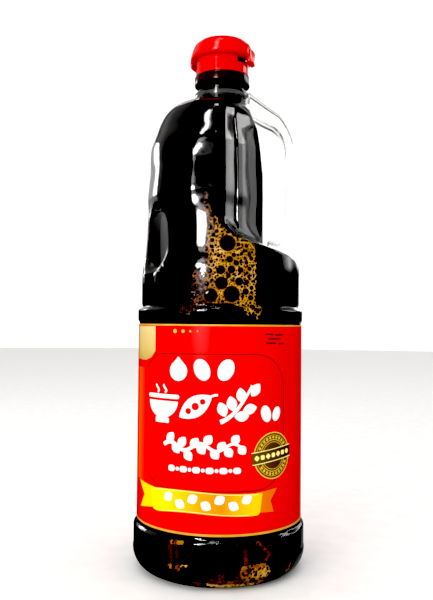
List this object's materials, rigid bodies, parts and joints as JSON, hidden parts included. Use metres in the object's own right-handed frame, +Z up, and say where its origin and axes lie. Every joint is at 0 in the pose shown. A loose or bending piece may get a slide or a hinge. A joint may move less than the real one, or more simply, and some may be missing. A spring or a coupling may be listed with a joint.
{
  "type": "soy sauce bottle",
  "caption": "Large clear plastic bottle filled with dark soy sauce, with a red wrap label, a red flip-top cap and a clear handle over a hand recess.",
  "frame": {"origin": "middle of the base, on the surface the bottle stands on", "axes": "+Z up along the bottle, -Y the way the label's front faces, +X towards the handle"},
  "size_m": [0.1046, 0.1046, 0.3254],
  "materials": {
    "clear_pet": "clear blown plastic",
    "soy_sauce": "near-black brown liquid",
    "foam": "amber bubbles",
    "printed_film": "red printed film with gold edges",
    "red_plastic": "glossy moulded plastic",
    "clear_handle_plastic": "clear moulded plastic"
  },
  "bodies": {
    "root": {"bottle": "clear_pet", "sauce": "soy_sauce", "foam": "foam", "label": "printed_film", "cap_base": "red_plastic", "cap_lid": "red_plastic", "handle": "clear_handle_plastic"}
  },
  "joints": []
}
